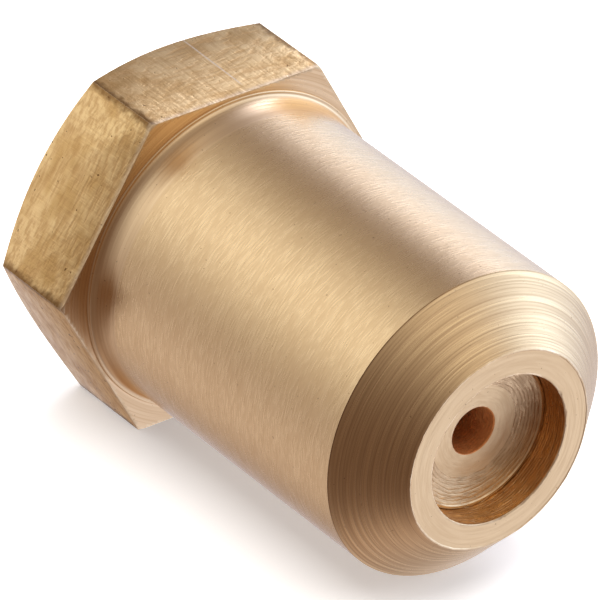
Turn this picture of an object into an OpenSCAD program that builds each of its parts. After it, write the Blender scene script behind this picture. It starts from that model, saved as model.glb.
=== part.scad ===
// Oil burner nozzle with a hexagonal collar, a plain turned barrel and a female inlet thread.
// The axis is +X, from the inlet end at x = 0 to the spray end. A hexagon flat faces up, +Z.

/* [Hexagonal collar] */
// Size across the flats
hex_af = 16; // [15.8:0.1:17]
// Length of the hexagon along the axis
hex_l = 5.2; // [4.6:0.1:6.4]
// Diameter at which the 30 degree chamfer of the inlet end starts
chamfer_d = 15.7; // [14.6:0.1:15.8]
// Radius of the fillet between the hexagon's front face and the barrel
fillet_r = 0.35; // [0.2:0.05:0.4]

/* [Barrel and nose] */
// Diameter of the barrel
barrel_d = 14.9; // [14.6:0.1:15]
// Length of the barrel in front of the hexagon, up to the nose cone
barrel_l = 16.9; // [16.4:0.1:20]
// Length of the nose cone
nose_l = 2.45; // [2:0.05:3]
// Diameter of the flat ring at the tip of the nose
nose_face_d = 9.8; // [8.8:0.1:11]
// Diameter of the spray recess, and of the bore behind it that centres the orifice disc
recess_d = 7.3; // [7:0.05:7.5]
// Depth from the nose tip to the orifice disc's face
recess_depth = 1.45; // [1:0.05:2]

/* [Inlet] */
// Minor diameter of the M12 x 1 inlet thread
inlet_d = 11; // [10.9:0.1:11.1]
// Depth from the inlet face to the thread relief
inlet_l = 8; // [7:0.1:9]
// Size of the 45 degree lead-in at the inlet face
inlet_chamfer = 0.5; // [0.3:0.05:0.8]
// Diameter of the thread relief groove
relief_d = 12.2; // [12.1:0.1:12.6]
// Length of the thread relief groove, which ends at the washer seat
relief_l = 1; // [1:0.1:1.5]

/* [Orifice disc] */
// Diameter of the spray orifice
orifice_d = 2.3; // [1.5:0.1:2.5]
// Diameter of the clamped flange
flange_d = 8.8; // [8.6:0.1:8.9]
// Thickness of the clamped flange
flange_t = 1.4; // [1:0.1:1.8]
// Diameter of the dished part of the front face
dish_d = 6.8; // [6:0.1:6.9]
// Diameter of the flat land around the orifice
land_d = 4; // [3:0.1:4.5]
// Depth of the dish
dish_depth = 0.35; // [0.2:0.05:0.5]
// Diameter of the swirl chamber at the disc's back
swirl_d = 5.2; // [5:0.1:5.6]
// Length of the swirl chamber's cone
swirl_l = 3; // [2.6:0.1:3.4]

/* [Distributor] */
// Thickness of the distributor's plate
plate_t = 1.7; // [1.4:0.1:1.8]
// Distance across the four feed flats on the plate's rim
plate_af = 7.9; // [7.6:0.1:8.2]
// Number of tangential slots in the plate's front face
slots = 4; // [3:1:6]
// Width of a tangential slot
slot_w = 0.8; // [0.5:0.1:0.9]
// Depth of a tangential slot
slot_depth = 0.7; // [0.4:0.1:0.9]
// Distance from the axis to the centre line of a tangential slot
slot_offset = 1.6; // [1.2:0.1:1.8]
// Length of the conical tip
tip_l = 2; // [1.5:0.1:2.2]

/* [Lock screw] */
// Pitch diameter of the M10 x 1 lock screw thread, which both threads are drawn at
lock_pitch_d = 9.35; // [9.3:0.01:9.4]
// Length of the lock screw
lock_l = 6; // [5.8:0.1:6.2]
// Diameter of the bore that holds the strainer
lock_bore_d = 6.8; // [6.7:0.1:6.9]
// Width of the screwdriver slot
driver_w = 1.4; // [1:0.1:1.8]
// Depth of the screwdriver slot
driver_depth = 1.2; // [0.8:0.1:1.6]
// Diameter of a feed hole in the lock screw's front wall
feed_d = 1.3; // [0.8:0.1:1.4]

/* [Strainer] */
// Diameter of the strainer's flange
strainer_flange_d = 8.7; // [8.4:0.1:8.8]
// Thickness of the strainer's flange
strainer_flange_t = 0.9; // [0.7:0.1:1.1]
// Outer diameter of the perforated core
core_d = 4.8; // [4.6:0.1:4.9]
// Rows of perforations along the core
core_rows = 3; // [2:1:3]
// Perforations in each row
core_holes = 6; // [4:1:8]

/* [Seal washer] */
// Outer diameter of the copper washer
washer_d = 10.8; // [10.4:0.1:10.8]
// Inner diameter of the copper washer
washer_bore_d = 7.2; // [6.6:0.1:7.6]
// Thickness of the copper washer
washer_t = 0.8; // [0.5:0.1:0.9]

/* [Hidden] */
$fn = 96;

eps = 0.01;
gap = 0.03;                                   // air between pieces that press on each other
fit = 0.05;                                   // air between a piece and the bore that centres it
chamfer_slope = tan(30);                      // axial length per unit of radius on the hexagon

seat_x = inlet_l + relief_l;                  // seat of the washer and the strainer's flange
lock_x = seat_x + strainer_flange_t + gap;    // rear end of the lock screw
plate_x = lock_x + lock_l + gap;              // rear face of the distributor's plate
disc_x = plate_x + plate_t + gap;             // rear face of the orifice disc
shoulder_x = disc_x + flange_t + gap;         // shoulder that the orifice disc is clamped against
nose_x = hex_l + barrel_l;                    // edge between the barrel and the nose cone
tip_x = nose_x + nose_l;                      // spray end
face_x = tip_x - recess_depth;                // front face of the orifice disc

chamber_d = flange_d + 0.2;                   // bore around the distributor and the disc's flange
lock_thread_end_x = plate_x + 0.25;           // front end of the lock screw's thread in the body
front_wall_t = 1;                             // solid front wall of the lock screw
spigot_d = 2.9;                               // rear spigot that centres the distributor
spigot_l = 0.9;
tip_root_d = 4.4;                             // distributor's conical tip
tip_end_d = 1;
core_bore_d = 4;                              // clear way through the strainer
collar_l = 0.8;                               // collar on the strainer's flange, inside the lock screw
core_l = 4.35;
mesh_t = 0.25;
cap_d = 6.1;
cap_t = 0.25;
cap_rim_l = 0.6;
perforation_d = 0.8;

core_x = seat_x + strainer_flange_t + gap;
core_end_x = core_x + core_l;
mesh_x = core_x + collar_l;
mesh_d = core_d + 2 * (fit / 2 + mesh_t);
feed_circle_d = spigot_d + feed_d + 0.7;

// Turns a solid drawn along +Z so that it lies along +X, starting at x
module along_x(x = 0) {
  translate([x, 0, 0]) rotate([0, 90, 0]) children();
}

// A tube from z = 0 to z = l
module tube(l, outer_d, inner_d) {
  difference() {
    cylinder(h = l, d = outer_d);
    translate([0, 0, -eps]) cylinder(h = l + 2 * eps, d = inner_d);
  }
}

// Hexagonal prism with the turned chamfer at its inlet end
module hexagon() {
  corner_r = hex_af / 2 / cos(30);
  chamfer_l = (corner_r + 0.2 - chamfer_d / 2) * chamfer_slope;
  intersection() {
    rotate([0, 0, 30]) cylinder(h = hex_l, r = corner_r, $fn = 6);
    union() {
      cylinder(h = chamfer_l, d1 = chamfer_d, r2 = corner_r + 0.2);
      translate([0, 0, chamfer_l - eps]) cylinder(h = hex_l, r = corner_r + 0.2);
    }
  }
}

// Fillet in the corner between the hexagon's front face and the barrel
module root_fillet() {
  translate([0, 0, hex_l - eps]) difference() {
    cylinder(h = fillet_r, d = barrel_d + 2 * fillet_r);
    translate([0, 0, fillet_r]) rotate_extrude() translate([barrel_d / 2 + fillet_r, 0]) circle(r = fillet_r);
  }
}

// Inlet thread, relief groove, lock screw thread, chamber and front bore
module bores() {
  translate([0, 0, -eps]) cylinder(h = inlet_chamfer, d1 = inlet_d + 2 * inlet_chamfer, d2 = inlet_d);
  translate([0, 0, -eps]) cylinder(h = seat_x, d = inlet_d);
  translate([0, 0, inlet_l]) cylinder(h = relief_l, d = relief_d);
  translate([0, 0, seat_x - eps]) cylinder(h = lock_thread_end_x - seat_x + eps, d = lock_pitch_d + fit);
  translate([0, 0, seat_x]) cylinder(h = shoulder_x - seat_x, d = chamber_d);
  translate([0, 0, shoulder_x - eps]) cylinder(h = tip_x, d = recess_d);
}

module nozzle_body() {
  color("#d9b27c") along_x() difference() {
    union() {
      hexagon();
      root_fillet();
      translate([0, 0, hex_l / 2]) cylinder(h = nose_x - hex_l / 2, d = barrel_d);
      translate([0, 0, nose_x]) cylinder(h = nose_l, d1 = barrel_d, d2 = nose_face_d);
    }
    bores();
  }
}

module orifice_disc() {
  boss_d = recess_d - 2 * fit;
  length = face_x - disc_x;
  color("#cf9f63") along_x(disc_x) difference() {
    union() {
      cylinder(h = flange_t, d = flange_d);
      cylinder(h = length, d = boss_d);
    }
    translate([0, 0, -eps]) cylinder(h = swirl_l, d1 = swirl_d, d2 = orifice_d);
    cylinder(h = length + eps, d = orifice_d);
    translate([0, 0, length - dish_depth]) cylinder(h = dish_depth + eps, d1 = land_d, d2 = dish_d);
  }
}

module distributor() {
  color("#9a9da0") along_x(plate_x) difference() {
    union() {
      intersection() {
        cylinder(h = plate_t, d = flange_d);
        translate([-plate_af / 2, -plate_af / 2, 0]) cube([plate_af, plate_af, plate_t]);
      }
      translate([0, 0, plate_t - eps]) cylinder(h = tip_l, d1 = tip_root_d, d2 = tip_end_d);
      translate([0, 0, -spigot_l]) cylinder(h = spigot_l + eps, d = spigot_d);
    }
    for (i = [0 : slots - 1])
      rotate([0, 0, i * 360 / slots])
        translate([0, slot_offset - slot_w / 2, plate_t - slot_depth]) cube([flange_d, slot_w, tip_l + slot_depth]);
  }
}

module lock_screw() {
  color("#c79a55") along_x(lock_x) difference() {
    cylinder(h = lock_l, d = lock_pitch_d - fit);
    translate([0, 0, -eps]) cylinder(h = lock_l - front_wall_t, d = lock_bore_d);
    cylinder(h = lock_l + eps, d = spigot_d + 2 * fit);
    for (i = [0 : 3])
      rotate([0, 0, 45 + i * 90]) translate([feed_circle_d / 2, 0, 0]) cylinder(h = lock_l + eps, d = feed_d, $fn = 32);
    translate([-lock_pitch_d, -driver_w / 2, -eps]) cube([2 * lock_pitch_d, driver_w, driver_depth]);
  }
}

module strainer_flange() {
  color("#c79a55") along_x(seat_x) difference() {
    union() {
      cylinder(h = strainer_flange_t, d = strainer_flange_d);
      cylinder(h = strainer_flange_t + collar_l, d = lock_bore_d - 2 * fit);
    }
    translate([0, 0, -eps]) cylinder(h = strainer_flange_t + collar_l + 1, d = core_bore_d);
    translate([0, 0, strainer_flange_t]) cylinder(h = collar_l + eps, d = core_d + fit);
  }
}

module strainer_core() {
  row_step = (core_l - collar_l - cap_rim_l) / core_rows;
  color("#b98f4f") along_x(core_x) difference() {
    tube(core_l, core_d, core_bore_d);
    for (row = [0 : core_rows - 1])
      for (i = [0 : core_holes - 1])
        translate([0, 0, collar_l + (row + 0.5) * row_step])
          rotate([0, 90, (i + row / 2) * 360 / core_holes])
            cylinder(h = core_d, d = perforation_d, $fn = 24);
  }
}

module strainer_mesh() {
  color("#a98a55") along_x(mesh_x) tube(core_end_x - gap - mesh_x, mesh_d, core_d + fit);
}

module strainer_cap() {
  color("#c79a55") along_x(core_end_x - cap_rim_l) difference() {
    cylinder(h = cap_rim_l + gap + cap_t, d = cap_d);
    translate([0, 0, -eps]) cylinder(h = cap_rim_l + gap + eps, d = mesh_d + fit);
  }
}

module seal_washer() {
  color("#b4673a") along_x(seat_x - gap - washer_t) tube(washer_t, washer_d, washer_bore_d);
}

nozzle_body();
orifice_disc();
distributor();
lock_screw();
strainer_flange();
strainer_core();
strainer_mesh();
strainer_cap();
seal_washer();
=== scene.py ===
import math
import random

import bmesh
import bpy
from mathutils import Matrix, Vector, noise


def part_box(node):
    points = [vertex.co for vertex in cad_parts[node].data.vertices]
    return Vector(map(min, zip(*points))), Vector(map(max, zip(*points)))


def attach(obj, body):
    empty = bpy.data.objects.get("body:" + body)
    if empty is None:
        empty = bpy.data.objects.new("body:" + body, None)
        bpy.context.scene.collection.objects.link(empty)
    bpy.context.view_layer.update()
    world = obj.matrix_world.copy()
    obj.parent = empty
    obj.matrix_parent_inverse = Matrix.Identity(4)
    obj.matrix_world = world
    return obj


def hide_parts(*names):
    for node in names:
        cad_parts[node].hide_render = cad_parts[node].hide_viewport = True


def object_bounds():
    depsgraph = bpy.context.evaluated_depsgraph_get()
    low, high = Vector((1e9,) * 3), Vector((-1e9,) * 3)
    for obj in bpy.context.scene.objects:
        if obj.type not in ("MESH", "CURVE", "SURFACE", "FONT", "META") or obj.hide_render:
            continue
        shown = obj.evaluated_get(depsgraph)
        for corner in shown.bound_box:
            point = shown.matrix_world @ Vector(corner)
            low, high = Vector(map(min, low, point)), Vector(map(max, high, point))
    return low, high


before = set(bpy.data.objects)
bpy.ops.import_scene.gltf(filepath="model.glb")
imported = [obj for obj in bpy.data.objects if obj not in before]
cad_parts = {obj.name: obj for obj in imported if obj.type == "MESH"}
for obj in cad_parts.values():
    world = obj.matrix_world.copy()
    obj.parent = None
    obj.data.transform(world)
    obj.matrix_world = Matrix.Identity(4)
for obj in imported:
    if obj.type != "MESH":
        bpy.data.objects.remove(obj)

mm = 0.001
scene = bpy.context.scene
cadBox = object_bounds()


def spanOf(node):  # first x, last x and largest radius of a CAD piece, in mm
    low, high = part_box(node)
    return low.x / mm, high.x / mm, high.z / mm


# Outlines are lists of (x, radius) in mm.

def arcPoints(centre, radii, start, end, steps):  # stretch of an ellipse, angles in degrees, 0 is +x
    points = []
    for i in range(steps + 1):
        angle = math.radians(start + (end - start) * i / steps)
        points.append((centre[0] + radii[0] * math.cos(angle), centre[1] + radii[1] * math.sin(angle)))
    return points


def toolMarks(start, end, pitch, depth, seed):  # a turned face, each pass of the tool a little different
    rng = random.Random(seed)
    run, rise = end[0] - start[0], end[1] - start[1]
    length = math.hypot(run, rise)
    along = (run / length, rise / length)
    points = [start]
    place = pitch * rng.uniform(0.6, 1.2)
    while place < length - 0.4 * pitch:
        cut = depth * rng.uniform(0.4, 1.0)
        if len(points) % 2:
            cut = -cut * 0.3
        points.append((start[0] + along[0] * place + along[1] * cut,
                       start[1] + along[1] * place - along[0] * cut))
        place += 0.5 * pitch * rng.uniform(0.75, 1.25)
    return points + [end]


def evenSteps(start, end, perMm):  # straight run cut finely enough to carry a thread
    count = max(1, round(math.hypot(end[0] - start[0], end[1] - start[1]) * perMm))
    return [(start[0] + (end[0] - start[0]) * i / count, start[1] + (end[1] - start[1]) * i / count)
            for i in range(count + 1)]


def turnOutline(outline, steps, closed=True):  # spins an outline about the nozzle's axis
    bm = bmesh.new()
    verts = []
    for x, radius in outline:
        if verts and (Vector((x * mm, 0, radius * mm)) - verts[-1].co).length < 1e-7:
            continue
        verts.append(bm.verts.new((x * mm, 0, radius * mm)))
    ends = verts[1:] + verts[:1] if closed else verts[1:]
    edges = [bm.edges.new(pair) for pair in zip(verts, ends)]
    bmesh.ops.spin(bm, geom=verts + edges, cent=(0, 0, 0), axis=(1, 0, 0), dvec=(0, 0, 0),
                   angle=2 * math.pi, steps=steps, use_merge=True, use_duplicate=False)
    bmesh.ops.remove_doubles(bm, verts=bm.verts, dist=2e-8)
    bmesh.ops.recalc_face_normals(bm, faces=bm.faces)
    return bm


def cutFlats(bm, distance, count, firstAngle):  # saws flats round the axis and closes each cut
    flats = []
    for i in range(count):
        angle = math.radians(firstAngle + i * 360 / count)
        normal = Vector((0, math.sin(angle), math.cos(angle)))
        cut = bmesh.ops.bisect_plane(bm, geom=bm.verts[:] + bm.edges[:] + bm.faces[:], dist=1e-9,
                                     plane_co=normal * distance * mm, plane_no=normal, clear_outer=True)
        rim = [e for e in cut["geom_cut"] if isinstance(e, bmesh.types.BMEdge) and e.is_boundary]
        bmesh.ops.holes_fill(bm, edges=rim, sides=0)
        flats.append(normal)
    bmesh.ops.recalc_face_normals(bm, faces=bm.faces)
    return flats


def threadRadius(x, angle, thread):  # 60 degree thread, right hand
    turn = (x / thread["pitch"] - angle / (2 * math.pi)) % 1
    sharp = 0.866 * thread["pitch"]  # height of the full triangle
    radius = thread["pitchRadius"] + sharp * (0.5 - abs(2 * turn - 1))
    return min(max(radius, thread["low"]), thread["high"])


def cutThread(bm, thread, start, end, inside):  # moves the wall's points to the helix
    for vert in bm.verts:
        x, radius = vert.co.x / mm, math.hypot(vert.co.y, vert.co.z) / mm
        if not (start <= x <= end and thread["from"] <= radius <= thread["to"]):
            continue
        wanted = threadRadius(x, math.atan2(vert.co.z, vert.co.y), thread)
        wanted = max(wanted, radius) if inside else min(wanted, radius)
        vert.co.y *= wanted / radius
        vert.co.z *= wanted / radius


def smoothFaces(bm):
    for faceItem in bm.faces:
        faceItem.smooth = True
    return bm


def finishPiece(name, bm, materials, body, replaced, sharpAngle=32):  # mesh object, tied to the frame
    mesh = bpy.data.meshes.new(name)
    bm.to_mesh(mesh)
    bm.free()
    for material in materials:
        mesh.materials.append(material)
    piece = bpy.data.objects.new(name, mesh)
    scene.collection.objects.link(piece)
    mesh.set_sharp_from_angle(angle=math.radians(sharpAngle))
    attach(piece, body)
    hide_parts(*replaced)
    print(f"{name}: {len(mesh.polygons)} faces")


def addNode(tree, kind, sockets=None, **settings):
    made = tree.nodes.new(kind)
    for key, value in settings.items():
        setattr(made, key, value)
    for key, value in (sockets or {}).items():
        if isinstance(value, bpy.types.NodeSocket):
            tree.links.new(value, made.inputs[key])
        else:
            made.inputs[key].default_value = value
    return made


def maths(tree, operation, first, second=0.0, third=0.0, clamp=False):
    made = addNode(tree, "ShaderNodeMath", {0: first, 1: second, 2: third}, operation=operation, use_clamp=clamp)
    return made.outputs[0]


def remap(tree, value, low, high, newLow=0.0, newHigh=1.0):  # clamped and eased
    made = addNode(tree, "ShaderNodeMapRange", {0: value, 1: low, 2: high, 3: newLow, 4: newHigh},
                   interpolation_type="SMOOTHSTEP")
    return made.outputs[0]


def mixColours(tree, amount, first, second, blend="MIX"):
    made = addNode(tree, "ShaderNodeMix", data_type="RGBA", blend_type=blend)
    for index, value in ((0, amount), (6, first), (7, second)):
        if isinstance(value, bpy.types.NodeSocket):
            tree.links.new(value, made.inputs[index])
        else:
            made.inputs[index].default_value = value if index == 0 else (*value, 1)
    return made.outputs[2]


def newGroup(name, inputs, outputs):
    group = bpy.data.node_groups.new(name, "ShaderNodeTree")
    for socketName, kind, value in inputs:
        socket = group.interface.new_socket(name=socketName, in_out="INPUT", socket_type=kind)
        if value is not None:
            socket.default_value = value
    for socketName, kind in outputs:
        group.interface.new_socket(name=socketName, in_out="OUTPUT", socket_type=kind)
    return group, group.nodes.new("NodeGroupInput"), group.nodes.new("NodeGroupOutput")


def useGroup(tree, group, **values):  # values are keyed by the socket's name without spaces
    made = tree.nodes.new("ShaderNodeGroup")
    made.node_tree = group
    for socket in made.inputs:
        key = socket.name.replace(" ", "")
        if key in values:
            value = values[key]
            if isinstance(value, bpy.types.NodeSocket):
                tree.links.new(value, socket)
            else:
                socket.default_value = value
    return made


def makeTurningGroup():  # lines that a lathe tool leaves, the same all round a ring
    floatSocket = "NodeSocketFloat"
    group, source, result = newGroup(
        "turningLines",
        [("Lines per mm", floatSocket, 8.0), ("Drift", floatSocket, 0.8), ("Seed", floatSocket, 0.0),
         ("Groove pitch", floatSocket, 0.15), ("Along", floatSocket, 1.0), ("Outward", floatSocket, 0.0)],
        [("Fine", floatSocket), ("Broad", floatSocket), ("Patches", floatSocket), ("Grooves", floatSocket)])
    place = addNode(group, "ShaderNodeTexCoord").outputs["Object"]
    split = addNode(group, "ShaderNodeSeparateXYZ", {0: place})
    radius = maths(group, "SQRT", maths(group, "ADD", maths(group, "MULTIPLY", split.outputs[1], split.outputs[1]),
                                        maths(group, "MULTIPLY", split.outputs[2], split.outputs[2])))
    safe = maths(group, "MAXIMUM", radius, 1e-6)
    across = maths(group, "DIVIDE", split.outputs[1], safe)
    up = maths(group, "DIVIDE", split.outputs[2], safe)
    perMetre = maths(group, "MULTIPLY", source.outputs["Lines per mm"], 1000.0)
    outputs = {}
    for label, share, drift, detail in (("Fine", 1.0, 1.0, 3.0), ("Broad", 0.16, 0.5, 2.0)):
        rate = maths(group, "MULTIPLY", perMetre, share)
        turn = maths(group, "MULTIPLY", source.outputs["Drift"], drift)
        spot = addNode(group, "ShaderNodeCombineXYZ",
                       {0: maths(group, "MULTIPLY_ADD", split.outputs[0], rate, source.outputs["Seed"]),
                        1: maths(group, "MULTIPLY", radius, rate), 2: maths(group, "MULTIPLY", across, turn)})
        pattern = addNode(group, "ShaderNodeTexNoise",
                          {"Vector": spot.outputs[0], "W": maths(group, "MULTIPLY", up, turn),
                           "Scale": 1.0, "Detail": detail, "Roughness": 0.6}, noise_dimensions="4D")
        outputs[label] = pattern.outputs[0]
    patches = addNode(group, "ShaderNodeTexNoise", {"Vector": place, "Scale": 260.0, "Detail": 3.0}).outputs[0]
    run = maths(group, "ADD", maths(group, "MULTIPLY", split.outputs[0], source.outputs["Along"]),
                maths(group, "MULTIPLY", radius, source.outputs["Outward"]))
    passes = maths(group, "DIVIDE", maths(group, "MULTIPLY", run, 1000.0), source.outputs["Groove pitch"])
    wander = maths(group, "MULTIPLY_ADD", outputs["Broad"], 1.6, passes)
    tooth = maths(group, "ABSOLUTE", maths(group, "MULTIPLY_ADD", maths(group, "FRACT", wander), 2.0, -1.0))
    strength = remap(group, outputs["Fine"], 0.3, 0.62, 0.25, 1.0)
    grooves = maths(group, "MULTIPLY", remap(group, tooth, 0.45, 0.95), strength)
    group.links.new(grooves, result.inputs["Grooves"])
    group.links.new(outputs["Fine"], result.inputs["Fine"])
    group.links.new(outputs["Broad"], result.inputs["Broad"])
    group.links.new(patches, result.inputs["Patches"])
    return group


def makeSpecksGroup():  # small pits and stains
    floatSocket = "NodeSocketFloat"
    group, source, result = newGroup(
        "specks",
        [("Spots per mm", floatSocket, 2.0), ("Amount", floatSocket, 0.3)],
        [("Mask", floatSocket), ("Stains", floatSocket)])
    place = addNode(group, "ShaderNodeTexCoord").outputs["Object"]
    rate = maths(group, "MULTIPLY", source.outputs["Spots per mm"], 1000.0)
    fine = addNode(group, "ShaderNodeTexNoise", {"Vector": place, "Scale": rate, "Detail": 1.0})
    broad = addNode(group, "ShaderNodeTexNoise",
                    {"Vector": place, "Scale": maths(group, "MULTIPLY", rate, 0.3), "Detail": 4.0})
    edge = maths(group, "SUBTRACT", 0.80, maths(group, "MULTIPLY", source.outputs["Amount"], 0.3))
    top = maths(group, "ADD", edge, 0.05)
    mask = remap(group, fine.outputs[0], edge, top)
    group.links.new(mask, result.inputs["Mask"])
    group.links.new(remap(group, broad.outputs[0], 0.45, 0.75), result.inputs["Stains"])
    return group


def makeCollarGroup():  # painted shade along the hexagon's corners, painted highlight along the flats' front end, and a scribed line on the top flat
    floatSocket = "NodeSocketFloat"
    group, source, result = newGroup(
        "collarShadingAndScribe",
        [("Corner width", floatSocket, 1.6), ("Ragged", floatSocket, 1.0), ("Front end", floatSocket, 5.2),
         ("Scribe place", floatSocket, 0.85)],
        [("Corner", floatSocket), ("Rim", floatSocket), ("Scribe", floatSocket)])
    place = addNode(group, "ShaderNodeTexCoord").outputs["Object"]
    scaled = addNode(group, "ShaderNodeVectorMath", {0: place, "Scale": 1000.0}, operation="SCALE").outputs[0]
    split = addNode(group, "ShaderNodeSeparateXYZ", {0: scaled})
    ragged = addNode(group, "ShaderNodeTexNoise", {"Vector": scaled, "Scale": 2.6, "Detail": 4.0}).outputs[0]
    ragged = maths(group, "MULTIPLY", maths(group, "SUBTRACT", ragged, 0.5), source.outputs["Ragged"])
    # Corner: painted shade, a dark ragged line along each corner of the hexagon
    angle = maths(group, "ARCTAN2", split.outputs[1], split.outputs[2])
    near = maths(group, "ADD", maths(group, "MULTIPLY", cornerGap(group, angle), 8.4), ragged)
    corner = remap(group, near, 0.0, source.outputs["Corner width"], 1.0, 0.0)
    # Rim: painted highlight along the front end of the flats
    rimGap = maths(group, "SUBTRACT", source.outputs["Front end"], split.outputs[0])
    rim = remap(group, maths(group, "ADD", rimGap, maths(group, "MULTIPLY", ragged, 0.5)), 0.0, 0.35, 1.0, 0.0)
    sway = maths(group, "ADD", maths(group, "MULTIPLY", split.outputs[0], -0.02), source.outputs["Scribe place"])
    off = maths(group, "ABSOLUTE", maths(group, "SUBTRACT", split.outputs[1], sway))
    line = remap(group, maths(group, "ADD", off, maths(group, "MULTIPLY", ragged, 0.03)), 0.01, 0.06, 1.0, 0.0)
    top = remap(group, split.outputs[2], 7.9, 7.95)
    scribe = maths(group, "MULTIPLY", maths(group, "MULTIPLY", line, top), remap(group, split.outputs[0], 4.7, 4.2))
    group.links.new(corner, result.inputs["Corner"])
    group.links.new(rim, result.inputs["Rim"])
    group.links.new(scribe, result.inputs["Scribe"])
    return group


def cornerGap(group, angle):  # angle from the nearest of the six corners
    sixth = math.pi / 3
    turned = maths(group, "ADD", angle, math.pi * 4 + sixth / 2)
    part = maths(group, "MODULO", turned, sixth)
    return maths(group, "MINIMUM", part, maths(group, "SUBTRACT", sixth, part))


turningGroup = makeTurningGroup()
specksGroup = makeSpecksGroup()
collarGroup = makeCollarGroup()


def startMaterial(name, metallic=1.0):
    material = bpy.data.materials.new(name)
    material.use_nodes = True
    tree = material.node_tree
    shader = tree.nodes["Principled BSDF"]
    shader.inputs["Metallic"].default_value = metallic
    shader.inputs["Specular Tint"].default_value = (1.0, 0.90, 0.78, 1.0)
    return material, tree, shader


def layTone(tree, tone, mask, share, colour):  # lays a colour over the tone where the mask is bright
    return mixColours(tree, maths(tree, "MULTIPLY", mask, share), tone, colour)


def addBump(tree, shader, height, look):  # bright is low
    bump = addNode(tree, "ShaderNodeBump",
                   {"Height": height, "Strength": look["bump"], "Distance": look["depth"] * mm}, invert=True)
    tree.links.new(bump.outputs[0], shader.inputs["Normal"])


def turnedMetal(name, look):  # brass, copper or steel off the lathe
    material, tree, shader = startMaterial(name, look.get("metallic", 1.0))
    lines = useGroup(tree, turningGroup, Linespermm=look["lines"], Drift=look["drift"], Seed=look["seed"],
                     Groovepitch=look["pitch"], Along=look["run"][0], Outward=look["run"][1])
    specks = useGroup(tree, specksGroup, Spotspermm=look["spots"], Amount=look["pitting"])
    grain = remap(tree, lines.outputs["Fine"], 0.36, 0.64)
    broad = remap(tree, lines.outputs["Broad"], 0.35, 0.65)
    grooves, patches, pits = lines.outputs["Grooves"], lines.outputs["Patches"], specks.outputs["Mask"]
    tone = layTone(tree, look["light"], broad, look["banding"], look["deep"])
    tone = layTone(tree, tone, grain, look["lining"], look["deep"])
    tone = layTone(tree, tone, grooves, look["grooving"], look["deep"])
    tone = layTone(tree, tone, patches, look["patching"], look["patch"])
    tone = layTone(tree, tone, pits, look["pitDark"], look["pit"])
    tree.links.new(tone, shader.inputs["Base Color"])
    rough = maths(tree, "MULTIPLY_ADD", grain, look["roughSpread"], look["rough"])
    rough = maths(tree, "MULTIPLY_ADD", patches, look["roughSpread"], rough)
    tree.links.new(rough, shader.inputs["Roughness"])
    height = maths(tree, "MULTIPLY_ADD", broad, look["broadHeight"], grain)
    height = maths(tree, "MULTIPLY_ADD", grooves, look["grooveHeight"], height)
    height = maths(tree, "ADD", height, maths(tree, "MULTIPLY", pits, look["pitHeight"]))
    addBump(tree, shader, height, look)
    return material


def milledMetal(name, look):  # the hexagon's flats: short streaks round the bar, stains and dents
    material, tree, shader = startMaterial(name)
    streaks = useGroup(tree, turningGroup, Linespermm=look["lines"], Drift=look["drift"], Seed=look["seed"])
    weave = useGroup(tree, turningGroup, Linespermm=look["crossLines"], Drift=look["crossDrift"], Seed=look["seed"])
    specks = useGroup(tree, specksGroup, Spotspermm=look["spots"], Amount=look["pitting"])
    shadingAndScribe = useGroup(tree, collarGroup, Cornerwidth=look["cornerWidth"], Ragged=look["ragged"])
    grain = remap(tree, streaks.outputs["Fine"], 0.40, 0.66)
    blotch = remap(tree, streaks.outputs["Broad"], 0.42, 0.68)
    cross = remap(tree, weave.outputs["Fine"], 0.42, 0.66)
    tone = layTone(tree, look["light"], blotch, look["blotching"], look["stain"])
    tone = layTone(tree, tone, grain, look["lining"], look["deep"])
    tone = layTone(tree, tone, cross, look["crossing"], look["deep"])
    tone = layTone(tree, tone, specks.outputs["Stains"], look["staining"], look["stain"])
    tone = mixColours(tree, specks.outputs["Mask"], tone, look["pit"])
    # painted shade along the hexagon's corners
    tone = layTone(tree, tone, shadingAndScribe.outputs["Corner"], look["cornerDark"], look["pit"])
    # painted highlight along the flats' front end
    tone = layTone(tree, tone, shadingAndScribe.outputs["Rim"], look["rimLight"], look["bright"])
    tone = layTone(tree, tone, shadingAndScribe.outputs["Scribe"], look["scribe"], look["bright"])
    tree.links.new(tone, shader.inputs["Base Color"])
    rough = maths(tree, "MULTIPLY_ADD", grain, look["roughSpread"], look["rough"])
    tree.links.new(rough, shader.inputs["Roughness"])
    height = maths(tree, "MULTIPLY_ADD", cross, look["crossHeight"], maths(tree, "ADD", grain, blotch))
    height = maths(tree, "ADD", height, specks.outputs["Mask"])
    addBump(tree, shader, height, look)
    return material


# Colours are linear red, green and blue. Lines and spots are per mm, pitch and depth are in mm.
barrelLook = {"light": (0.87, 0.66, 0.39), "deep": (0.62, 0.42, 0.21), "patch": (0.80, 0.57, 0.32),
              "pit": (0.26, 0.15, 0.07), "lines": 12.0, "drift": 13.0, "seed": 0.0, "pitch": 0.12,
              "run": (1.0, 0.0), "grooving": 0.16, "grooveHeight": 0.3, "banding": 0.18, "lining": 0.26,
              "patching": 0.30, "spots": 6.0, "pitting": 0.17, "rough": 0.23, "roughSpread": 0.06,
              "bump": 0.26, "depth": 0.010, "broadHeight": 0.5, "pitDark": 0.55, "pitHeight": 0.6}
noseLook = dict(barrelLook, lines=9.0, drift=0.9, banding=0.12, lining=0.55, grooving=0.55, grooveHeight=0.5,
                pitch=0.155, run=(0.7, -0.72), deep=(0.47, 0.31, 0.17), bump=0.42, depth=0.016, broadHeight=0.12,
                seed=31.0)
ringLook = dict(barrelLook, lines=9.0, drift=3.0, banding=0.10, lining=0.15, grooving=0.05, run=(0.0, 1.0),
                bump=0.2, rough=0.3, seed=57.0)
recessLook = dict(barrelLook, light=(0.90, 0.67, 0.40), deep=(0.40, 0.26, 0.14), lines=8.0, drift=5.0, banding=0.45,
                  lining=0.35, grooving=0.45, pitch=0.17, run=(0.2, 1.0), grooveHeight=1.0, bump=0.45,
                  depth=0.015, rough=0.24, seed=11.0)
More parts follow.
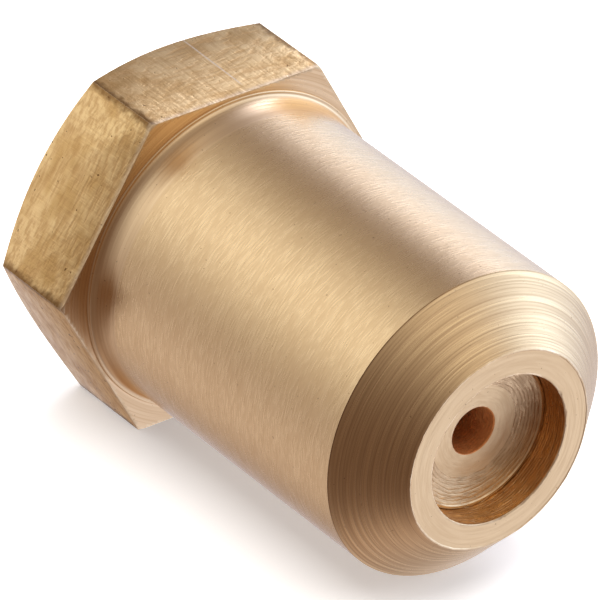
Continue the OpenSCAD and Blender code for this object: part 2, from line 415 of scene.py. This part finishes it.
# wallLook: more orange brass on the recess wall and the body's other inner faces, a painted reflection of the brass
# round them
wallLook = dict(recessLook, light=(0.95, 0.62, 0.30), deep=(0.50, 0.26, 0.10), lines=6.0, bump=0.8, depth=0.02,
                run=(1.0, 0.0), pitch=0.14, lining=0.45, seed=17.0)
holeLook = dict(recessLook, light=(0.76, 0.31, 0.11), deep=(0.42, 0.15, 0.04), patch=(0.60, 0.24, 0.08),
                metallic=0.35, rough=0.42, run=(1.0, 0.0), pitch=0.16, seed=23.0)
# collarLook: lighter brass on the collar's front face, painted light, a lit copy of the barrel's brass
collarLook = dict(barrelLook, light=(0.92, 0.70, 0.44), deep=(0.58, 0.36, 0.17), lines=8.0, drift=1.0, lining=0.4,
                  grooving=0.3, pitch=0.16, run=(0.0, 1.0), rough=0.25, seed=73.0)
# filletLook: still lighter brass on the fillet between collar and barrel, a painted highlight
filletLook = dict(collarLook, light=(0.94, 0.73, 0.46), deep=(0.54, 0.35, 0.18), banding=0.20, lining=0.3,
                  grooving=0.1, run=(0.7, -0.7), seed=79.0)
# lineLook: dark brass in the small notch where the barrel meets the nose, painted shade in the crease
lineLook = dict(barrelLook, light=(0.50, 0.33, 0.17), deep=(0.22, 0.13, 0.06), lining=0.6, drift=9.0, seed=91.0)
# edgeLook: lighter brass on the hexagon's bevelled edges and the nose's rims, a painted highlight along the edges,
# broken by darker bands at random
edgeLook = dict(barrelLook, light=(0.97, 0.80, 0.55), deep=(0.60, 0.40, 0.20), lines=2.0, drift=7.0, lining=0.5,
                banding=0.5, rough=0.30, seed=83.0)
# flatLook: cornerDark lays painted shade along the hexagon's corners; rimLight lays the bright colour as a painted
# highlight along the flats' front end, and scribe lays it on the scribed line
flatLook = {"light": (1.0, 0.74, 0.37), "deep": (0.66, 0.41, 0.17), "stain": (0.56, 0.32, 0.09),
            "bright": (0.95, 0.80, 0.58), "pit": (0.26, 0.14, 0.05), "lines": 5.0, "drift": 7.0, "seed": 3.0,
            "crossLines": 0.7, "crossDrift": 42.0, "spots": 4.0, "pitting": 0.26, "blotching": 0.60,
            "lining": 0.62, "crossing": 0.25, "staining": 0.26, "cornerWidth": 0.36, "ragged": 0.55,
            "cornerDark": 0.9, "rimLight": 0.5, "scribe": 0.9, "rough": 0.32, "roughSpread": 0.10,
            "bump": 0.38, "depth": 0.02, "crossHeight": 0.5}

copperLook = dict(barrelLook, light=(0.80, 0.38, 0.20), deep=(0.52, 0.21, 0.10), patch=(0.62, 0.27, 0.16),
                  lines=6.0, run=(0.0, 1.0), rough=0.34, seed=5.0)
steelLook = dict(barrelLook, light=(0.64, 0.63, 0.61), deep=(0.44, 0.43, 0.41), patch=(0.54, 0.53, 0.51),
                 lines=7.0, rough=0.24, seed=19.0)
wireLook = dict(barrelLook, light=(0.72, 0.52, 0.28), lines=4.0, rough=0.3, seed=41.0)

barrelBrass = turnedMetal("barrelBrass", barrelLook)
noseBrass = turnedMetal("noseBrass", noseLook)
ringBrass = turnedMetal("ringBrass", ringLook)
recessBrass = turnedMetal("recessBrass", recessLook)
wallBrass = turnedMetal("wallBrass", wallLook)
holeBrass = turnedMetal("holeBrass", holeLook)
collarBrass = turnedMetal("collarBrass", collarLook)
filletBrass = turnedMetal("filletBrass", filletLook)
edgeBrass = turnedMetal("edgeBrass", edgeLook)
lineBrass = turnedMetal("lineBrass", lineLook)
flatBrass = milledMetal("flatBrass", flatLook)
copper = turnedMetal("copper", copperLook)
steel = turnedMetal("steel", steelLook)
bronzeWire = turnedMetal("bronzeWire", wireLook)
print("materials made")


inletThread = {"pitch": 1.0, "pitchRadius": 5.675, "low": 5.46, "high": 6.0, "from": 5.3, "to": 6.06}
lockThread = {"pitch": 1.0, "pitchRadius": 4.675, "low": 4.46, "high": 5.0, "from": 4.4, "to": 5.05}

bodyPart = {"collarLength": 5.2, "chamferStart": 7.85, "chamferSlope": 0.577, "blankRadius": 9.3,
            "cornerStart": 9.08, "beadRadius": 7.86, "beadHeight": 0.08, "filletEnd": 6.25,
            "barrelRadius": 7.45, "barrelEnd": 22.1, "ringRadius": 4.9, "recessRadius": 3.65,
            "seat": 9.0, "relief": 8.0, "reliefRadius": 6.1, "lockThreadEnd": 16.2,
            "chamberRadius": 4.5, "shoulder": 19.12, "mouthRadius": 6.02, "threadStart": 0.5,
            "discFace": 22.2, "seatMouth": 5.0, "seatLand": 5.3, "edgeRadius": 8.9, "outerFrom": 6.0,
            "barrelFrom": 6.5, "edge": 0.12, "steps": 192}


def makeBody(part):
    start, tip, halfAcross = spanOf("nozzle_body")
    face = part["collarLength"]
    blank = part["blankRadius"]
    outline = [(start, part["mouthRadius"])]
    outline += evenSteps((start, part["mouthRadius"] + 0.05), (start, part["chamferStart"]), 3)
    outline += [(start + (blank - part["chamferStart"]) * part["chamferSlope"], blank)]
    outline += [(face - 0.1, blank), (face, part["cornerStart"])]
    outline += toolMarks((face, part["cornerStart"] - 0.02), (face, part["beadRadius"] + 0.02), 0.18, 0.003, 3)
    outline += arcPoints((face, part["beadRadius"] - 0.06), (part["beadHeight"], 0.07), 90, 0, 5)
    filletStart = face + part["beadHeight"] - 0.01
    filletTop = part["beadRadius"] - 0.10
    outline += arcPoints((part["filletEnd"], filletTop), (part["filletEnd"] - filletStart,
                         filletTop - part["barrelRadius"]), 180, 270, 9)
    outline += toolMarks((part["filletEnd"] + 0.05, part["barrelRadius"]),
                         (part["barrelEnd"] - 0.05, part["barrelRadius"]), 0.45, 0.003, 5)
    outline += [(part["barrelEnd"] - 0.03, part["barrelRadius"] - 0.03), (part["barrelEnd"], part["barrelRadius"])]
    outline += toolMarks((part["barrelEnd"] + 0.03, part["barrelRadius"] - 0.05),
                         (tip - 0.05, part["ringRadius"] + 0.03), 0.15, 0.003, 8)
    outline += [(tip, part["ringRadius"] - 0.02), (tip, part["ringRadius"] - 0.07),
                (tip - 0.02, part["ringRadius"] - 0.1)]
    outline += toolMarks((tip - 0.02, part["ringRadius"] - 0.14),
                         (tip - 0.02, part["recessRadius"] + 0.09), 0.2, 0.003, 9)
    outline += arcPoints((tip - 0.08, part["recessRadius"] + 0.06), (0.06, 0.06), 0, -90, 3)
    outline += toolMarks((tip - 0.12, part["recessRadius"]),
                         (part["discFace"], part["recessRadius"]), 0.13, 0.012, 12)
    outline += [(part["shoulder"], part["recessRadius"]), (part["shoulder"], part["chamberRadius"])]
    outline += [(part["lockThreadEnd"] + 0.1, part["chamberRadius"])]
    outline += evenSteps((part["lockThreadEnd"], lockThread["low"]), (part["seat"] + 0.5, lockThread["low"]), 10)
    outline += evenSteps((part["seat"] + 0.45, part["chamberRadius"]), (part["seat"], part["seatMouth"]), 12)
    outline += [(part["seat"], part["seatLand"]), (part["seat"], part["reliefRadius"] - 0.1)]
    outline += arcPoints((part["seat"] - 0.1, part["reliefRadius"] - 0.1), (0.1, 0.1), 0, 90, 3)
    outline += [(part["relief"], part["reliefRadius"]), (part["relief"], part["reliefRadius"] - 0.05)]
    outline += evenSteps((part["relief"], inletThread["low"]), (part["threadStart"] + 0.05, inletThread["low"]), 20)
    outline += evenSteps((part["threadStart"], inletThread["low"] + 0.04), (start + 0.02, inletThread["high"]), 20)
    bm = turnOutline(outline, part["steps"])
    normals = cutFlats(bm, halfAcross, 6, 0)
    return bm, normals, halfAcross


def surfaceOf(faceItem, part, normals, halfAcross, tip):  # which surface of the body a face belongs to
    centre = faceItem.calc_center_median() / mm
    normal = faceItem.normal
    radius = math.hypot(centre.y, centre.z)
    turnedOut = normal.y * centre.y + normal.z * centre.z > 0
    reach = max(centre.dot(n) for n in normals)
    if any(abs(centre.dot(n) - halfAcross) < 0.002 and normal.dot(n) > 0.99 for n in normals):
        return "flat"
    onCollar = centre.x < part["collarLength"] + 0.01 and radius > part["beadRadius"] + 0.04 and normal.x > -0.3
    if onCollar and ((abs(normal.x) < 0.3 and radius > part["edgeRadius"]) or
                     (normal.x > 0.3 and reach > halfAcross - 0.1)):
        return "edge"
    if centre.x < part["filletEnd"] + 0.3 and radius > part["outerFrom"] and (turnedOut or abs(normal.x) > 0.5):
        return "collar" if centre.x < part["collarLength"] + 0.05 else "fillet"
    if turnedOut and radius > part["barrelFrom"]:
        if abs(centre.x - part["barrelEnd"] + 0.02) < 0.03:
            return "line"
        if centre.x < part["barrelEnd"]:
            return "barrel"
    onRim = radius < part["recessRadius"] + 0.1 or radius > part["ringRadius"] - 0.1
    if normal.x > 0.2 and centre.x > tip - 0.07 and onRim:
        return "edge"
    if turnedOut and radius > part["ringRadius"] - 0.01:
        return "nose"
    return "ring" if normal.x > 0.7 and centre.x > tip - 0.2 else "wall"


def paintBody(bm, part, normals, halfAcross, metals):
    numbers = {surface: number for number, surface in enumerate(metals)}
    tip = spanOf("nozzle_body")[1]
    for faceItem in bm.faces:
        surface = surfaceOf(faceItem, part, normals, halfAcross, tip)
        faceItem.smooth = surface != "flat"
        faceItem.material_index = numbers[surface]


def softenCollar(bm, part, normals, halfAcross):  # breaks the sharp edges of the hexagon
    sharp = []
    for edge in bm.edges:
        if len(edge.link_faces) != 2:
            continue
        middle = (edge.verts[0].co + edge.verts[1].co) / 2 / mm
        onFlat = any(abs(middle.dot(n) - halfAcross) < 0.002 for n in normals)
        if onFlat and edge.calc_face_angle(0) > math.radians(12):
            sharp.append(edge)
    bmesh.ops.bevel(bm, geom=sharp, offset=part["edge"] * mm, offset_type="OFFSET", affect="EDGES",
                    segments=2, profile=0.5, material=-1, clamp_overlap=True)


recessBurrs = {"depth": 0.15, "inner": 3.66, "outer": 3.77, "amount": 0.10, "lumps": 16.0}
ringBurrs = {"depth": 0.10, "inner": 4.78, "outer": 4.89, "amount": 0.035, "lumps": 26.0}


def raggedRim(bm, burrs):  # what the last cut left on an edge of the nose
    place = spanOf("nozzle_body")[1] - burrs["depth"]
    for vert in bm.verts:
        radius = math.hypot(vert.co.y, vert.co.z) / mm
        if vert.co.x / mm < place or not burrs["inner"] < radius < burrs["outer"]:
            continue
        angle = math.atan2(vert.co.z, vert.co.y)
        spot = Vector((math.cos(angle), math.sin(angle), burrs["inner"])) * burrs["lumps"]
        push = burrs["amount"] * max(0.0, noise.noise(spot) + 0.5 * noise.noise(spot * 2.3)) / radius
        vert.co.y *= 1 + push
        vert.co.z *= 1 + push


bodyMetals = {"barrel": barrelBrass, "nose": noseBrass, "ring": ringBrass, "wall": wallBrass, "collar": collarBrass,
              "flat": flatBrass, "edge": edgeBrass, "fillet": filletBrass, "line": lineBrass}
bodyMesh, flatNormals, halfAcross = makeBody(bodyPart)
raggedRim(bodyMesh, recessBurrs)
raggedRim(bodyMesh, ringBurrs)
softenCollar(bodyMesh, bodyPart, flatNormals, halfAcross)
paintBody(bodyMesh, bodyPart, flatNormals, halfAcross, bodyMetals)
cutThread(bodyMesh, inletThread, 0.001, bodyPart["relief"] + 0.001, True)
cutThread(bodyMesh, lockThread, bodyPart["seat"] - 0.001, bodyPart["lockThreadEnd"] + 0.001, True)
finishPiece("nozzleBody", bodyMesh, bodyMetals.values(), "body", ["nozzle_body"])


discPart = {"flangeThickness": 1.4, "bossRadius": 3.635, "dishRadius": 3.4, "landRadius": 2.0, "dishDepth": 0.35,
            "orificeRadius": 1.15, "swirlRadius": 2.6, "swirlLength": 3.0, "landEdge": 2.15, "steps": 160}


def makeDisc(part):
    back, face, radius = spanOf("orifice_disc")
    land = face - part["dishDepth"]
    flange = back + part["flangeThickness"]
    outline = [(back, part["swirlRadius"]), (back, radius - 0.08), (back + 0.08, radius)]
    outline += [(flange - 0.06, radius), (flange, radius - 0.06), (flange, part["bossRadius"])]
    outline += [(face, part["bossRadius"]), (face + 0.03, part["bossRadius"] - 0.03)]
    outline += [(face + 0.03, part["dishRadius"] + 0.1), (face, part["dishRadius"] + 0.07)]
    outline += toolMarks((face - 0.02, part["dishRadius"] + 0.02),
                         (land + 0.06, part["landRadius"] + 0.4), 0.16, 0.013, 21)
    outline += toolMarks((land + 0.02, part["landRadius"] + 0.25),
                         (land, part["orificeRadius"] + 0.09), 0.2, 0.004, 22)
    outline += arcPoints((land - 0.06, part["orificeRadius"] + 0.06), (0.06, 0.06), 0, -90, 3)
    outline += toolMarks((land - 0.12, part["orificeRadius"]), (back + part["swirlLength"], part["orificeRadius"]),
                         0.2, 0.012, 23)
    bm = smoothFaces(turnOutline(outline, part["steps"]))
    for faceItem in bm.faces:  # 0 is the dish and the rest, 1 the hole, 2 the land round it
        centre = faceItem.calc_center_median() / mm
        radius = math.hypot(centre.y, centre.z)
        if radius < part["landEdge"]:
            faceItem.material_index = 1 if radius < part["orificeRadius"] + 0.03 else 2
    return bm


finishPiece("orificeDisc", makeDisc(discPart), [recessBrass, holeBrass, ringBrass], "orifice_disc",
            ["orifice_disc"])


def addRod(bm, start, direction, length, radius, steps=32):  # solid rod for cutting a hole
    turn = Vector(direction).to_track_quat("Z", "Y").to_matrix().to_4x4()
    middle = (Vector(start) + Vector(direction).normalized() * length / 2) * mm
    bmesh.ops.create_cone(bm, cap_ends=True, segments=steps, radius1=radius * mm, radius2=radius * mm,
                          depth=length * mm, matrix=Matrix.Translation(middle) @ turn)


def addBlock(bm, centre, size, turn=0.0):  # solid block, turned about the nozzle's axis
    shape = Matrix.Diagonal((*(Vector(size) * mm), 1))
    bmesh.ops.create_cube(bm, size=1, matrix=Matrix.Rotation(turn, 4, "X") @ Matrix.Translation(Vector(centre) * mm)
                          @ shape)


def carve(bm, cutter):  # takes the cutter's shapes out of the blank; they mustn't overlap one another
    pair = []
    for label, source in (("blank", bm), ("cutter", cutter)):
        mesh = bpy.data.meshes.new(label)
        source.to_mesh(mesh)
        source.free()
        pair.append(bpy.data.objects.new(label, mesh))
        scene.collection.objects.link(pair[-1])
    saw = pair[0].modifiers.new("saw", "BOOLEAN")
    saw.object, saw.operation, saw.solver = pair[1], "DIFFERENCE", "EXACT"
    shaped = bpy.data.meshes.new_from_object(pair[0].evaluated_get(bpy.context.evaluated_depsgraph_get()))
    result = bmesh.new()
    result.from_mesh(shaped)
    for extra in pair:
        old = extra.data
        bpy.data.objects.remove(extra)
        bpy.data.meshes.remove(old)
    bpy.data.meshes.remove(shaped)
    if not result.faces:
        raise RuntimeError("a cut left nothing of the piece")
    return smoothFaces(result)


distributorPart = {"thickness": 1.7, "plateRadius": 4.4, "acrossFlats": 7.9, "tipRoot": 2.2,
                   "spigotRadius": 1.45, "slots": 4, "slotWidth": 0.8, "slotDepth": 0.7, "slotOffset": 1.6,
                   "slotReach": 5.2, "tipEnd": 0.5, "tipLength": 2.0, "spigotLength": 0.9, "steps": 96}


def makeDistributor(part):
    back, tip = spanOf("distributor")[:2]
    radius = part["plateRadius"]
    rear = back + part["spigotLength"]
    front = rear + part["thickness"]
    outline = [(back, 0.0), (back, part["spigotRadius"] - 0.1), (back + 0.1, part["spigotRadius"])]
    outline += [(rear - 0.05, part["spigotRadius"]), (rear, part["spigotRadius"] + 0.05)]
    outline += toolMarks((rear, part["spigotRadius"] + 0.1), (rear, radius - 0.12), 0.3, 0.004, 31)
    outline += [(rear + 0.1, radius), (front - 0.1, radius)]
    outline += toolMarks((front, radius - 0.12), (front, part["tipRoot"] + 0.05), 0.3, 0.004, 32)
    outline += toolMarks((front + 0.05, part["tipRoot"]), (tip - 0.06, part["tipEnd"] + 0.04), 0.2, 0.006, 33)
    outline += [(tip, part["tipEnd"] - 0.06), (tip, 0.0)]
    bm = turnOutline(outline, part["steps"], closed=False)
    cutFlats(bm, part["acrossFlats"] / 2, 4, 0)
    cutter = bmesh.new()
    for i in range(part["slots"]):
        depth = part["tipLength"] + part["slotDepth"]
        place = (front - part["slotDepth"] + depth / 2 + 0.25, part["slotOffset"], -part["slotReach"] / 2)
        addBlock(cutter, place, (depth + 0.5, part["slotWidth"], part["slotReach"]),
                 -i * 2 * math.pi / part["slots"])
    return carve(bm, cutter)


lockPart = {"boreRadius": 3.4, "wall": 1.0, "centreHole": 1.5, "feedHoles": 4, "feedHole": 0.65,
            "feedCircle": 2.45, "driverWidth": 1.4, "driverDepth": 1.2, "crest": 4.93, "root": 4.34, "steps": 96}
maleThread = {"pitch": 1.0, "pitchRadius": 4.63, "low": 4.34, "high": 4.93, "from": 4.2, "to": 5.0}


def makeLockScrew(part):
    back, front = spanOf("lock_screw")[:2]
    wall = front - part["wall"]
    outline = [(back, part["boreRadius"] + 0.15), (back, part["root"])]
    outline += evenSteps((back + 0.02, part["root"]), (back + 0.55, part["crest"]), 12)
    outline += evenSteps((back + 0.6, part["crest"]), (front - 0.6, part["crest"]), 12)
    outline += evenSteps((front - 0.55, part["crest"]), (front - 0.02, part["root"]), 12)
    outline += toolMarks((front, part["root"]), (front, part["centreHole"] + 0.08), 0.25, 0.003, 41)
    outline += [(front - 0.08, part["centreHole"]), (wall + 0.05, part["centreHole"])]
    outline += toolMarks((wall, part["centreHole"] + 0.05), (wall, part["boreRadius"] - 0.05), 0.3, 0.004, 42)
    outline += toolMarks((wall - 0.05, part["boreRadius"]), (back + 0.15, part["boreRadius"]), 0.3, 0.004, 43)
    bm = turnOutline(outline, part["steps"])
    cutThread(bm, maleThread, back + 0.01, front - 0.01, False)
    cutter = bmesh.new()
    for i in range(part["feedHoles"]):
        angle = math.pi / 4 + i * 2 * math.pi / part["feedHoles"]
        spot = (wall - 0.5, part["feedCircle"] * math.cos(angle), part["feedCircle"] * math.sin(angle))
        addRod(cutter, spot, (1, 0, 0), part["wall"] + 1, part["feedHole"])
    slotLength = 2 * part["crest"] + 1.14
    addBlock(cutter, (back + part["driverDepth"] / 2 - 0.5, 0, 0),
             (part["driverDepth"] + 1, part["driverWidth"], slotLength))
    return carve(bm, cutter)


strainerPart = {"flangeThickness": 0.9, "collarRadius": 3.35, "boreRadius": 2.0, "coreRadius": 2.4, "fit": 0.025,
                "rows": 3, "holes": 6, "holeRadius": 0.4, "drillFrom": 1.5, "drillLength": 1.4,
                "collarLength": 0.8, "capRim": 0.6, "capInner": 2.7, "steps": 96}


def makeStrainerFlange(part):
    back, front, radius = spanOf("strainer_flange")
    step = back + part["flangeThickness"]
    outline = [(back, part["boreRadius"] + 0.08)]
    outline += toolMarks((back, part["boreRadius"] + 0.12), (back, radius - 0.12), 0.3, 0.004, 51)
    outline += [(back + 0.1, radius), (step - 0.1, radius), (step, radius - 0.1)]
    outline += [(step, part["collarRadius"] + 0.05), (step + 0.05, part["collarRadius"])]
    outline += [(front - 0.08, part["collarRadius"]), (front, part["collarRadius"] - 0.08)]
    outline += [(front, part["coreRadius"] + part["fit"]), (step + 0.02, part["coreRadius"] + part["fit"])]
    outline += [(step + 0.02, part["boreRadius"]), (back + 0.08, part["boreRadius"])]
    return smoothFaces(turnOutline(outline, part["steps"]))


def makeStrainerCore(part):
    back, front, radius = spanOf("strainer_core")
    outline = [(back, part["boreRadius"]), (back, radius - 0.03), (back + 0.03, radius)]
    outline += toolMarks((back + 0.1, radius), (front - 0.1, radius), 0.4, 0.003, 61)
    outline += [(front - 0.03, radius), (front, radius - 0.03), (front, part["boreRadius"])]
    bm = turnOutline(outline, part["steps"])
    cutter = bmesh.new()
    rowStep = (front - back - part["collarLength"] - part["capRim"]) / part["rows"]
    for row in range(part["rows"]):
        for i in range(part["holes"]):
            angle = (i + row / 2) * 2 * math.pi / part["holes"]
            outward = Vector((0, math.sin(angle), -math.cos(angle)))
            place = Vector((back + part["collarLength"] + (row + 0.5) * rowStep, 0, 0))
            addRod(cutter, place + outward * part["drillFrom"], outward, part["drillLength"], part["holeRadius"], 24)
    return carve(bm, cutter)


def makeStrainerCap(part):
    back, front, radius = spanOf("strainer_cap")
    floorPlace = back + part["capRim"] + 0.03
    outline = [(front, 0.0)]
    outline += toolMarks((front, 0.1), (front, radius - 0.12), 0.3, 0.004, 71)
    outline += [(front - 0.1, radius), (back + 0.06, radius), (back, radius - 0.06), (back, part["capInner"])]
    outline += [(floorPlace, part["capInner"]), (floorPlace, 0.0)]
    return smoothFaces(turnOutline(outline, part["steps"], closed=False))


gauzePart = {"wireRadius": 0.055, "wave": 0.06, "across": 36, "rings": 11, "sides": 6, "stepsPerWire": 6,
             "skin": 0.125, "endGap": 0.06}


def makeGauze(part):  # woven wire: rings pass over and under the wires along the sleeve
    back, front, radius = spanOf("strainer_mesh")
    middle = radius - part["skin"]
    bm = bmesh.new()
    halves = part["across"] // 2
    spacing = (front - back - 2 * part["endGap"]) / (part["rings"] - 1)
    for i in range(part["rings"]):
        ring = bmesh.new()
        place = back + part["endGap"] + i * spacing
        made = bmesh.ops.create_circle(ring, segments=part["sides"], radius=part["wireRadius"] * mm,
                                       matrix=Matrix.Translation((place * mm, 0, middle * mm)) @
                                       Matrix.Rotation(math.pi / 2, 4, "X"))
        bmesh.ops.spin(ring, geom=made["verts"] + ring.edges[:], cent=(0, 0, 0), axis=(1, 0, 0), dvec=(0, 0, 0),
                       angle=2 * math.pi, steps=halves * part["stepsPerWire"], use_merge=True, use_duplicate=False)
        for vert in ring.verts:
            angle = math.atan2(vert.co.y, vert.co.z)
            reach = math.hypot(vert.co.y, vert.co.z)
            swing = part["wave"] * mm * math.cos(halves * angle + math.pi * i)
            vert.co.y *= (reach + swing) / reach
            vert.co.z *= (reach + swing) / reach
        joinMesh(bm, ring)
    stepCount = (part["rings"] - 1) * part["stepsPerWire"]
    for i in range(part["across"]):
        wire = bmesh.new()
        bmesh.ops.create_circle(wire, segments=part["sides"], radius=part["wireRadius"] * mm, cap_ends=True,
                                matrix=Matrix.Translation((back * mm, 0, middle * mm)) @
                                Matrix.Rotation(math.pi / 2, 4, "Y"))
        rim = wire.edges[:]
        for _ in range(stepCount):
            grown = bmesh.ops.extrude_edge_only(wire, edges=rim)["geom"]
            rim = [e for e in grown if isinstance(e, bmesh.types.BMEdge)]
            newVerts = [v for v in grown if isinstance(v, bmesh.types.BMVert)]
            bmesh.ops.translate(wire, verts=newVerts, vec=((front - back) / stepCount * mm, 0, 0))
            rim = [e for e in rim if all(v in newVerts for v in e.verts)]
        bmesh.ops.holes_fill(wire, edges=rim, sides=0)
        for vert in wire.verts:
            swing = math.cos(math.pi * (vert.co.x / mm - back - part["endGap"]) / spacing + math.pi * i)
            vert.co.z -= part["wave"] * mm * swing
        bmesh.ops.rotate(wire, verts=wire.verts, cent=(0, 0, 0),
                         matrix=Matrix.Rotation(-i * 2 * math.pi / part["across"], 3, "X"))
        joinMesh(bm, wire)
    bmesh.ops.recalc_face_normals(bm, faces=bm.faces)
    return smoothFaces(bm)


def joinMesh(target, extra):
    mesh = bpy.data.meshes.new("extra")
    extra.to_mesh(mesh)
    extra.free()
    target.from_mesh(mesh)
    bpy.data.meshes.remove(mesh)


washerPart = {"inner": 3.6, "round": 0.1, "steps": 128}


def makeWasher(part):
    back, front, radius = spanOf("seal_washer")
    soft = part["round"]
    outline = arcPoints((back + soft, radius - soft), (soft, soft), 180, 90, 4)
    outline += arcPoints((front - soft, radius - soft), (soft, soft), 90, 0, 4)
    outline += toolMarks((front, radius - 0.3), (front, part["inner"] + 0.3), 0.3, 0.004, 81)
    outline += arcPoints((front - soft, part["inner"] + soft), (soft, soft), 0, -90, 4)
    outline += arcPoints((back + soft, part["inner"] + soft), (soft, soft), 270, 180, 4)
    outline += toolMarks((back, part["inner"] + 0.3), (back, radius - 0.3), 0.3, 0.004, 82)
    return smoothFaces(turnOutline(outline, part["steps"]))


finishPiece("swirlDistributor", makeDistributor(distributorPart), [steel], "distributor",
            ["distributor"])
finishPiece("lockScrew", makeLockScrew(lockPart), [recessBrass], "lock_screw", ["lock_screw"])
finishPiece("strainerFlange", makeStrainerFlange(strainerPart), [recessBrass], "strainer",
            ["strainer_flange"])
finishPiece("strainerCore", makeStrainerCore(strainerPart), [bronzeWire], "strainer",
            ["strainer_core"])
finishPiece("strainerCap", makeStrainerCap(strainerPart), [recessBrass], "strainer",
            ["strainer_cap"])
finishPiece("strainerGauze", makeGauze(gauzePart), [bronzeWire], "strainer", ["strainer_mesh"])
finishPiece("sealWasher", makeWasher(washerPart), [copper], "seal_washer", ["seal_washer"])


# millimetres and degrees
viewpoint = {"azimuth": 50.8, "elevation": 32.6, "roll": 3.2, "distance": 415.7, "lens": 560.7,
             "aim": (8.14, 1.84, -1.77)}


def makeCamera(shot):  # looks at the aim point, rolled about the line of sight
    camera = bpy.data.objects.new("camera", bpy.data.cameras.new("camera"))
    scene.collection.objects.link(camera)
    a, e, roll = (math.radians(shot[key]) for key in ("azimuth", "elevation", "roll"))
    back = Vector((math.sin(a) * math.cos(e), -math.cos(a) * math.cos(e), math.sin(e)))
    right = Vector((math.cos(a), math.sin(a), 0))
    up = back.cross(right)
    tilted = (right * math.cos(roll) + up * math.sin(roll), up * math.cos(roll) - right * math.sin(roll), back)
    camera.matrix_world = Matrix.Translation((Vector(shot["aim"]) + back * shot["distance"]) * mm) @ \
        Matrix(tilted).transposed().to_4x4()
    camera.data.lens = shot["lens"]
    camera.data.sensor_width = 36
    camera.data.clip_start, camera.data.clip_end = 0.01, 20
    scene.camera = camera


floorPart = {"size": 3.0, "colour": (0.86, 0.86, 0.86), "roughness": 0.7, "glow": 0.35}


def makeFloor(part):
    bm = bmesh.new()
    bmesh.ops.create_grid(bm, x_segments=1, y_segments=1, size=part["size"],
                          matrix=Matrix.Translation((0, 0, cadBox[0].z)))
    mesh = bpy.data.meshes.new("floor")
    bm.to_mesh(mesh)
    bm.free()
    material, _, shader = startMaterial("floorPaper", metallic=0.0)
    shader.inputs["Base Color"].default_value = (*part["colour"], 1)
    shader.inputs["Roughness"].default_value = part["roughness"]
    shader.inputs["Emission Color"].default_value = (1, 1, 1, 1)
    shader.inputs["Emission Strength"].default_value = part["glow"]
    mesh.materials.append(material)
    floor = bpy.data.objects.new("floor", mesh)
    scene.collection.objects.link(floor)
    floor.visible_glossy = False


# soft boxes round the table: direction, sharpness, brightness
softBoxes = [
    ((0.31, 0.92, 0.23), 10.0, (1.45, 1.83, 2.49)),    # wide box on the right
    ((-0.36, 0.79, 0.51), 36.0, (3.92, 4.14, 5.42)),   # small bright one behind it
    ((-0.43, 0.90, 0.00), 11.0, (1.08, 1.47, 2.33)),   # low box behind, right
    ((-0.74, -0.42, 0.54), 6.6, (1.06, 1.09, 1.09)),   # high left
    ((0.66, 0.24, 0.71), 5.3, (0.79, 0.76, 0.69)),     # overhead, in front
    ((0.31, 0.63, -0.71), 8.1, (1.35, 1.46, 1.80)),    # table in front, right
    ((-0.44, 0.59, -0.68), 29.0, (0.60, 0.67, 0.77)),  # table behind, right
    ((-0.80, -0.37, -0.47), 7.9, (0.66, 0.64, 0.70)),  # table on the left
    ((-0.86, 0.27, -0.43), 31.0, (1.99, 2.53, 3.86)),  # table at the back
    ((0.03, -0.17, -0.99), 14.0, (0.38, 0.30, 0.27)),  # table underneath
]
surround = (0.170, 0.106, 0.077)


def makeWorld():
    world = bpy.data.worlds.new("studio")
    scene.world = world
    world.use_nodes = True
    tree = world.node_tree
    background = tree.nodes["Background"]
    direction = addNode(tree, "ShaderNodeTexCoord").outputs["Generated"]
    total = None
    for aim, sharpness, colour in softBoxes:
        facing = addNode(tree, "ShaderNodeVectorMath", {0: direction, 1: Vector(aim).normalized()},
                         operation="DOT_PRODUCT").outputs["Value"]
        power = maths(tree, "MULTIPLY", maths(tree, "SUBTRACT", facing, 1.0), sharpness)
        glow = addNode(tree, "ShaderNodeVectorMath", {0: colour, "Scale": maths(tree, "EXPONENT", power)},
                       operation="SCALE").outputs[0]
        total = glow if total is None else addNode(tree, "ShaderNodeVectorMath", {0: total, 1: glow}).outputs[0]
    total = addNode(tree, "ShaderNodeVectorMath", {0: total, 1: surround}).outputs[0]
    tree.links.new(total, background.inputs["Color"])


floorLamp = {"height": 1.2, "size": 1.6, "watts": 30.0, "colour": (1.0, 0.98, 0.96)}


def makeFloorLamp(part):  # lights the paper only
    lamp = bpy.data.lights.new("floorLamp", "AREA")
    lamp.energy, lamp.size, lamp.color = part["watts"], part["size"], part["colour"]
    holder = bpy.data.objects.new("floorLamp", lamp)
    holder.location = (0, 0, part["height"])
    holder.visible_camera = False
    holder.visible_glossy = False
    scene.collection.objects.link(holder)


makeCamera(viewpoint)
makeFloor(floorPart)
makeWorld()
makeFloorLamp(floorLamp)
scene.view_settings.view_transform = "Standard"
print("stage set")
